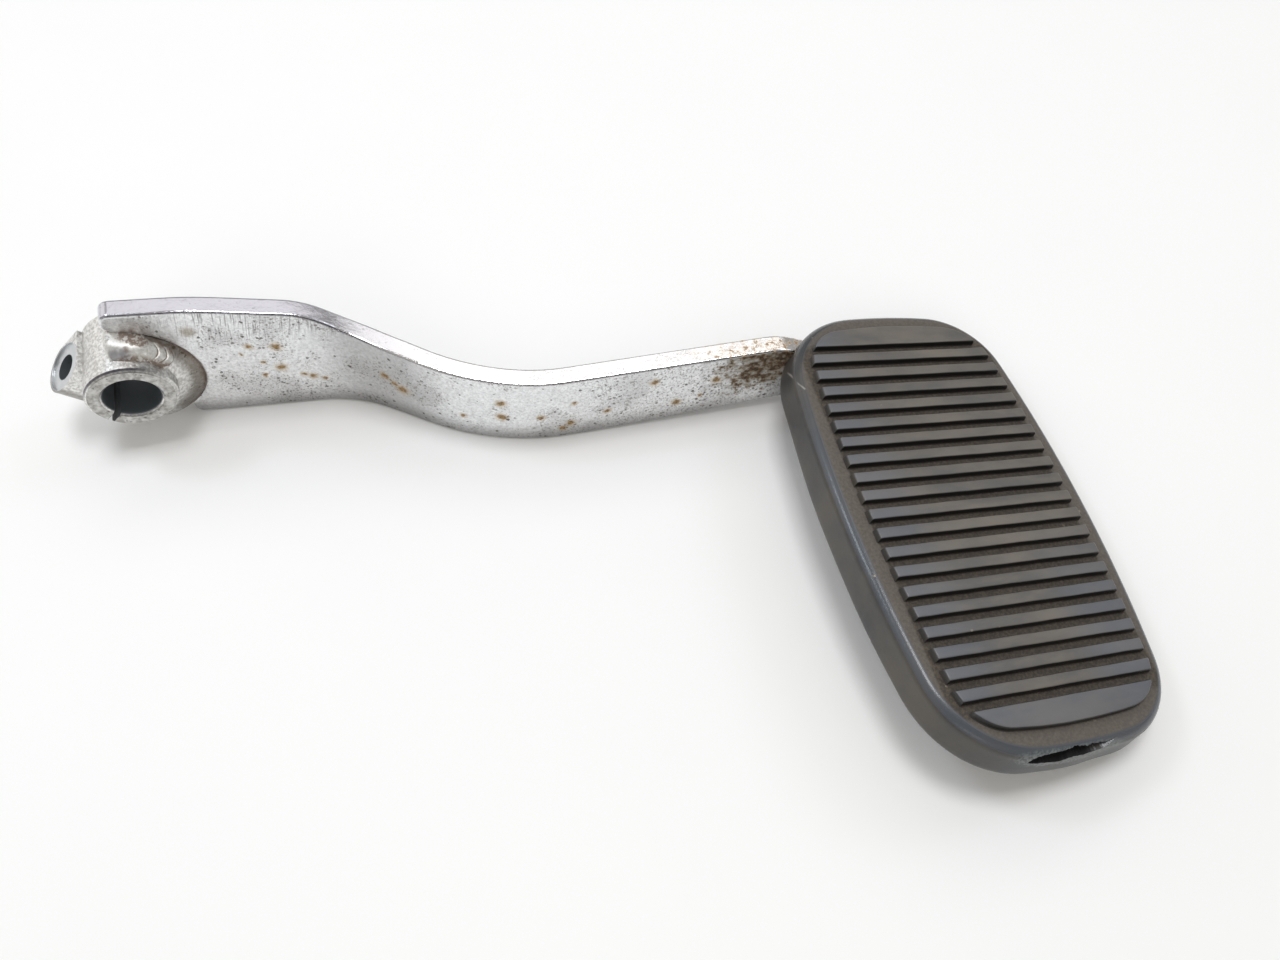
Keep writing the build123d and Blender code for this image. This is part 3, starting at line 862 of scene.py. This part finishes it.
def tear_at(along, scale, drop):
    """The torn outline at one depth in the end wall, scaled about its middle and dropped a little."""
    across = tear_across + tear_edge[:, 0] * scale
    height = tear_height - drop + tear_edge[:, 1] * scale
    return on_pad_frame(np.column_stack([across, np.full(len(tear_edge), along), height]))


tear_outside = tear_at(along=-63.0, scale=1.06, drop=0.0)
tear_inside = tear_at(along=-55.5, scale=0.9, drop=0.15)
tear_cutter = prism("tear_cutter", tear_outside, tear_inside)
print("tear", len(tear_edge), "points around")

# %% Cutter for the notch
roof_x, roof_z = np.array([148.0, 160.5, 173.0, 206.0]), np.array([2.2, 2.2, -4.9, -14.3])
notch_floor, notch_width, notch_gap = -30.0, 36.0, 0.4
arm_face_x, arm_face_y, arm_heading = 85.0, -23.5555, math.radians(4.2)
notch_x = np.concatenate([roof_x, roof_x[::-1]])
notch_z = np.concatenate([roof_z, np.full_like(roof_z, notch_floor)])
notch_y = arm_face_y - (notch_x - arm_face_x) * math.tan(arm_heading) - notch_gap
notch_near = np.column_stack([notch_x, notch_y, notch_z])
notch_cutter = prism("notch_cutter", notch_near, notch_near + (0.0, notch_width, 0.0))
print("notch", len(notch_near), "corners")

# %% Cut the boot
cutters = (notch_cutter, tear_cutter)
for cutter in cutters:
    cut = boot.modifiers.new(cutter.name, "BOOLEAN")
    cut.operation = "DIFFERENCE"
    cut.solver = "EXACT"
    cut.object = cutter
bpy.context.view_layer.update()
cut_mesh = bpy.data.meshes.new_from_object(boot.evaluated_get(bpy.context.evaluated_depsgraph_get()))
boot.modifiers.clear()
for cutter in cutters:
    bpy.data.objects.remove(cutter)
print("boot after the cuts:", len(cut_mesh.vertices), "points")

# %% [markdown]
# The tread is a row of straight bars between two D-shaped lands, all inside one bowed outline.
# Each bar is a rounded block whose ends follow that outline; a land is the same block with one
# long side that follows the end of the outline. Their feet are sunk into the boot.

# %% Tread block
tread_edge, _ = barrel(
    half_width=28.4, half_length=54.6, side_radius=430.0, end_radius=140.0,
    left_round=12.0, right_round=12.0,
)
right_edge = tread_edge[tread_edge[:, 0] > 0]
right_edge = right_edge[np.argsort(right_edge[:, 1])]
top_edge = tread_edge[tread_edge[:, 1] > 0]
top_edge = top_edge[np.argsort(top_edge[:, 0])]


def tread_half_width(along):
    """Half the tread's width at a place along the pad."""
    return np.interp(np.abs(along), right_edge[:, 1], right_edge[:, 0])


def rounded_block(reach, low, high, seed, bowed_ends):
    """A bar lying across the pad, with its upper edges rounded.

    Stations run from -reach to reach, and over the last half millimetre the top falls on a quarter
    circle. The section goes up one side, over the top and down the other, with a quarter circle at each
    upper edge. low and high give the two long sides at each station, straight or bowed. With bowed ends,
    a station is stretched by the tread's half width at its place along the pad, so that the ends
    lie on the tread's outline. Two slow sines along the bar make it uneven, as worn rubber is.
    """
    edge, foot_height, foot_spread, end_lean, least_half = 0.45, -2.6, 0.15, 0.12, 0.04
    bend = np.linspace(0, np.pi / 2, 6)
    run_in, drop = edge * (1 - np.cos(bend)), edge * (1 - np.sin(bend))
    middle = np.linspace(edge, 2 * reach - edge, 44)[1:-1]
    stations = np.concatenate([run_in, middle, 2 * reach - run_in[::-1]]) - reach
    fall = np.concatenate([drop, 0 * middle, drop[::-1]])[:, None]
    low_side, high_side = low(stations)[:, None], high(stations)[:, None]
    half, centre = np.maximum((high_side - low_side) / 2, least_half), (high_side + low_side) / 2
    turn = np.concatenate([np.linspace(np.pi, np.pi / 2, 7), np.linspace(np.pi / 2, 0, 7)])[None]
    side = np.repeat([-1.0, 1.0], 7)[None]
    edge_here = np.minimum(edge, 0.8 * half)
    width = (half - edge_here) * side + edge_here * np.cos(turn)
    width = np.concatenate([-half - foot_spread, width, half + foot_spread], 1)
    rise = edge_here * (np.sin(turn) - 1) - fall
    foot = np.full((len(stations), 1), foot_height)
    rise = np.concatenate([foot, rise, foot], 1)
    worn = 0.03 * np.sin(stations * 0.31 + seed * 1.7) + 0.015 * np.sin(stations * 0.83 + seed * 2.9)
    lengthwise = centre + width + worn[:, None]
    across = np.broadcast_to(stations[:, None], rise.shape)
    if bowed_ends:
        across = across * tread_half_width(lengthwise) / reach
    across = across * (1 - end_lean * np.minimum(rise, 0) / reach)
    return np.stack([across, lengthwise, rise], -1)


print("tread outline", tread_edge.min(0).round(1), tread_edge.max(0).round(1))

# %% Tread bars and lands
bar_count, bar_pitch, bar_half = 19, 5.0, 1.45
land_start, land_least, land_round = 48.55, 0.2, 0.6


def straight(value):
    """A side that stays at one place along the pad."""
    return lambda stations: np.full_like(stations, value)


def end_side(stations):
    """The bowed side of a land, on the tread's outline, never nearer than its least width."""
    return np.maximum(np.interp(stations, top_edge[:, 0], top_edge[:, 1]), land_start + land_least)


blocks = []
for number in range(bar_count):
    place = (number - bar_count // 2) * bar_pitch
    sides = straight(place - bar_half), straight(place + bar_half)
    blocks.append(rounded_block(tread_half_width(place), *sides, seed=number, bowed_ends=True))
land_reach = tread_half_width(land_start + land_round)
land_sides = [(straight(land_start), end_side), (lambda x: -end_side(x), straight(-land_start))]
for sides, seed in zip(land_sides, (31, 37)):
    blocks.append(rounded_block(land_reach, *sides, seed=seed, bowed_ends=False))
tread_grid = on_pad_frame(np.stack(blocks))
count, rows, columns = tread_grid.shape[:3]
tread_mesh = new_mesh("tread_bars", tread_grid, tube_faces(rows, columns, flip=True, tubes=count))
print("tread", count, "blocks", len(tread_mesh.vertices), "points")

# %% [markdown]
# Bars and boot are one moulding, so they become one mesh. A Boolean union would do it too, but it would
# cut up faces that nobody sees, so the feet of the bars just stay inside the boot. Sharp edges are marked
# by their angle, and every rounded edge shades smoothly.

# %% Join bars and boot into one moulding
least_edge, sharp_angle = 1e-7, math.radians(38)
moulding = bmesh.new()
moulding.from_mesh(cut_mesh)
moulding.from_mesh(tread_mesh)
bmesh.ops.dissolve_degenerate(moulding, dist=least_edge, edges=moulding.edges)
moulding.to_mesh(boot.data)
moulding.free()
boot.data.shade_smooth()
boot.data.set_sharp_from_angle(angle=sharp_angle)
boot.data.update()
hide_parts("pad_rubber")
print("boot with its tread:", len(boot.data.vertices), "points")

# %% [markdown]
# The rubber is dull and brown-black. Dust lies in the grooves and along the border, soles have
# rubbed the bar tops a little greyer, and the flanks of the bars get a painted shade, nearly black. A
# Mapping node turns places into the pad's own frame, so across, along and depth tell these parts from one
# another.

# %% Places on the rubber
rubber = Finish("tread_rubber", IOR=1.5)
pad_turn = (0.0, pad_slope, 0.0)
to_pad = rubber.node("Mapping", Vector=rubber.place, Location=pad_middle.tolist(), Rotation=pad_turn)
to_pad.vector_type = "TEXTURE"
on_pad = to_pad.outputs[0]
across, lengthwise, depth = (rubber.axis(on_pad, letter) for letter in "XYZ")
upward = rubber.vector("DOT_PRODUCT", rubber.normal, pad_axes[2].tolist())
outboard = rubber.vector("DOT_PRODUCT", rubber.normal, (0.0, -1.0, 0.0))
top_face = rubber.ramp(upward, 0.55, 0.95)
worn_top = rubber.both(top_face, rubber.ramp(depth, -0.9, -0.2))
bar_flank_shade = rubber.both(
    rubber.ramp(rubber.maths("ABSOLUTE", outboard), 0.45, 0.85), rubber.ramp(depth, -1.5, -1.25),
)
low_level = rubber.both(
    rubber.falls(depth, -0.9, -0.4), rubber.ramp(depth, -2.4, -2.0), rubber.ramp(upward, 0.90, 0.985),
)
in_tread = rubber.both(
    rubber.falls(rubber.maths("ABSOLUTE", across), 27.8, 28.6),
    rubber.falls(rubber.maths("ABSOLUTE", lengthwise), 49.0, 51.0),
)
edge_round = rubber.both(
    rubber.falls(upward, 0.93, 0.985), rubber.ramp(upward, 0.35, 0.6),
    rubber.ramp(depth, -4.6, -3.8), rubber.falls(depth, -1.82, -1.5),
)
end_wall = rubber.both(rubber.falls(lengthwise, -59.4, -58.6), rubber.falls(upward, 0.3, 0.6))
rubber.tell()

# %% [markdown]
# The damage is placed on the same frame. Inside the tear everything is painted black, a painted shade,
# and round it a ring of frayed rubber is paler. A nick in the left wall is a row of thin strokes, and lint
# lies on the bars.

# %% Tear, nick and lint
drawn_out = rubber.vector("MULTIPLY", on_pad, (0.5, 1.0, 1.0))
smear = rubber.noise(16.0, detail=5.0, roughness=0.6, place=drawn_out)
drawn_further = rubber.vector("MULTIPLY", on_pad, (0.25, 1.0, 1.0))
rubbed = rubber.noise(3.0, detail=4.0, place=drawn_further)
grit = rubber.noise(0.7, detail=4.0, roughness=0.7)
# Painted shade: the rubber inside the tear is painted black.
tear_shade = rubber.both(
    rubber.falls(rubber.maths("ABSOLUTE", rubber.maths("SUBTRACT", across, tear_across)), 12.2, 12.8),
    rubber.falls(rubber.maths("ABSOLUTE", rubber.maths("SUBTRACT", depth, tear_height)), 3.0, 3.4),
    rubber.falls(lengthwise, -57.5, -56.5),
    rubber.most(rubber.falls(outboard, 0.5, 0.75), rubber.ramp(lengthwise, -59.4, -58.8)),
    rubber.most(rubber.falls(depth, -4.9, -4.4), rubber.falls(upward, 0.2, 0.4)),
)
fray_middle, fray_scale = (-2.0, 0.0, -4.6), (1 / 11.4, 0.0, 1 / 2.8)
from_tear = rubber.vector("SUBTRACT", rubber.warped(0.8, 0.5, on_pad), fray_middle)
frayed = rubber.both(
    rubber.falls(rubber.vector("LENGTH", rubber.vector("MULTIPLY", from_tear, fray_scale)), 1.05, 1.4),
    rubber.ramp(outboard, 0.4, 0.7),
    rubber.falls(lengthwise, -58.5, -57.5),
    rubber.ramp(grit, 0.40, 0.6),
)
nick_ends = [(158.9, -35.3, 0.7), (158.5, -38.0, 3.3), (158.9, -42.0, 4.9), (159.6, -44.0, 5.5)]
nick_radius = 0.22
strokes = [rubber.stroke(start, stop, nick_radius) for start, stop in zip(nick_ends, nick_ends[1:])]
nick = rubber.most(*strokes)
lint = rubber.both(
    rubber.specks(3.4, 0.5, warp=(1.0, 0.5), share=0.35), top_face, rubber.ramp(rubbed, 0.4, 0.55),
)
rubber.tell()

# %% [markdown]
# The rubber's tones go on in layers as well: worn tops over clean walls, with a painted sheen towards
# the ends of the bars, then dust in the low places, the painted shade of the flanks and the painted sheen
# of the rounded border, and the damage last, with the inside of the tear painted black as shade. Dust is
# rough, and the rounded border has been rubbed smooth, so Roughness follows the same masks.

# %% Rubber colours
# Painted sheen: the bar tops are painted bluer and paler at the left, on the right towards the outboard
# end, and on the outboard land.
sheen_ends = rubber.most(
    rubber.falls(across, -25.0, -10.0),
    rubber.both(rubber.ramp(across, 4.0, 18.0), rubber.falls(lengthwise, -30.0, 0.0)),
    rubber.both(rubber.falls(lengthwise, -49.0, -46.0), 0.8),
)
wall_tone = rubber.mix(rubber.ramp(smear, 0.3, 0.7), rgb(56, 57, 59), rgb(80, 75, 68))
top_tone = rubber.mix(rubber.ramp(smear, 0.3, 0.7), rgb(86, 85, 84), rgb(116, 109, 100))
top_tone = rubber.layers(top_tone, [
    (rubber.ramp(rubbed, 0.45, 0.7), 0.4, rgb(118, 109, 98)),
    (sheen_ends, 0.55, rgb(98, 103, 113)),
])
groove_tone = rubber.mix(rubber.ramp(grit, 0.40, 0.66), rgb(64, 57, 50), rgb(90, 81, 70))
border_tone = rubber.mix(rubber.ramp(grit, 0.35, 0.68), rgb(90, 84, 78), rgb(106, 99, 90))
rubber_tone = rubber.layers(rubber.mix(worn_top, wall_tone, top_tone), [
    (low_level, 0.95, rubber.mix(in_tread, border_tone, groove_tone)),
    # Painted shade: the upper part of each bar flank is painted nearly black.
    (bar_flank_shade, 1.0, rgb(18, 16, 15)),
    # Painted sheen: the rounded border is painted bluer, most from the middle to the outboard end and less
    # towards the inboard end.
    (edge_round, rubber.ramp(lengthwise, 5.0, 48.0, 0.6, 0.15), rgb(86, 92, 101)),
    (end_wall, 0.7, rgb(50, 57, 57)),
    (tear_shade, 1.0, rgb(10, 10, 11)),
    (frayed, 0.75, rgb(122, 128, 126)),
    (nick, 0.8, rgb(150, 147, 142)),
    (lint, 0.7, rgb(150, 140, 124)),
])
smooth_roughness = rubber.mix(edge_round, rubber.mix(smear, 0.30, 0.42), 0.24)
rubber.wear(
    Base_Color=rubber_tone,
    Roughness=rubber.mix(rubber.most(low_level, tear_shade), smooth_roughness, 0.75),
    Normal=rubber.bump(grit, 0.02, rubber.bump(smear, 0.2)),
)
rubber.on(boot)

# %% [markdown]
# The plate inside the boot is plain steel, painted black. It shows only through the tear and from
# below, where a little rust has started, so two tones and one noise are enough.

# %% Plate finish
paint = Finish("plate_steel", Roughness=0.6)
rust_bloom = paint.ramp(paint.noise(4.0, detail=5.0), 0.52, 0.7)
paint.wear(Base_Color=paint.mix(rust_bloom, rgb(22, 21, 20), rgb(70, 50, 36)))
paint.on(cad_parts["pad_plate"])
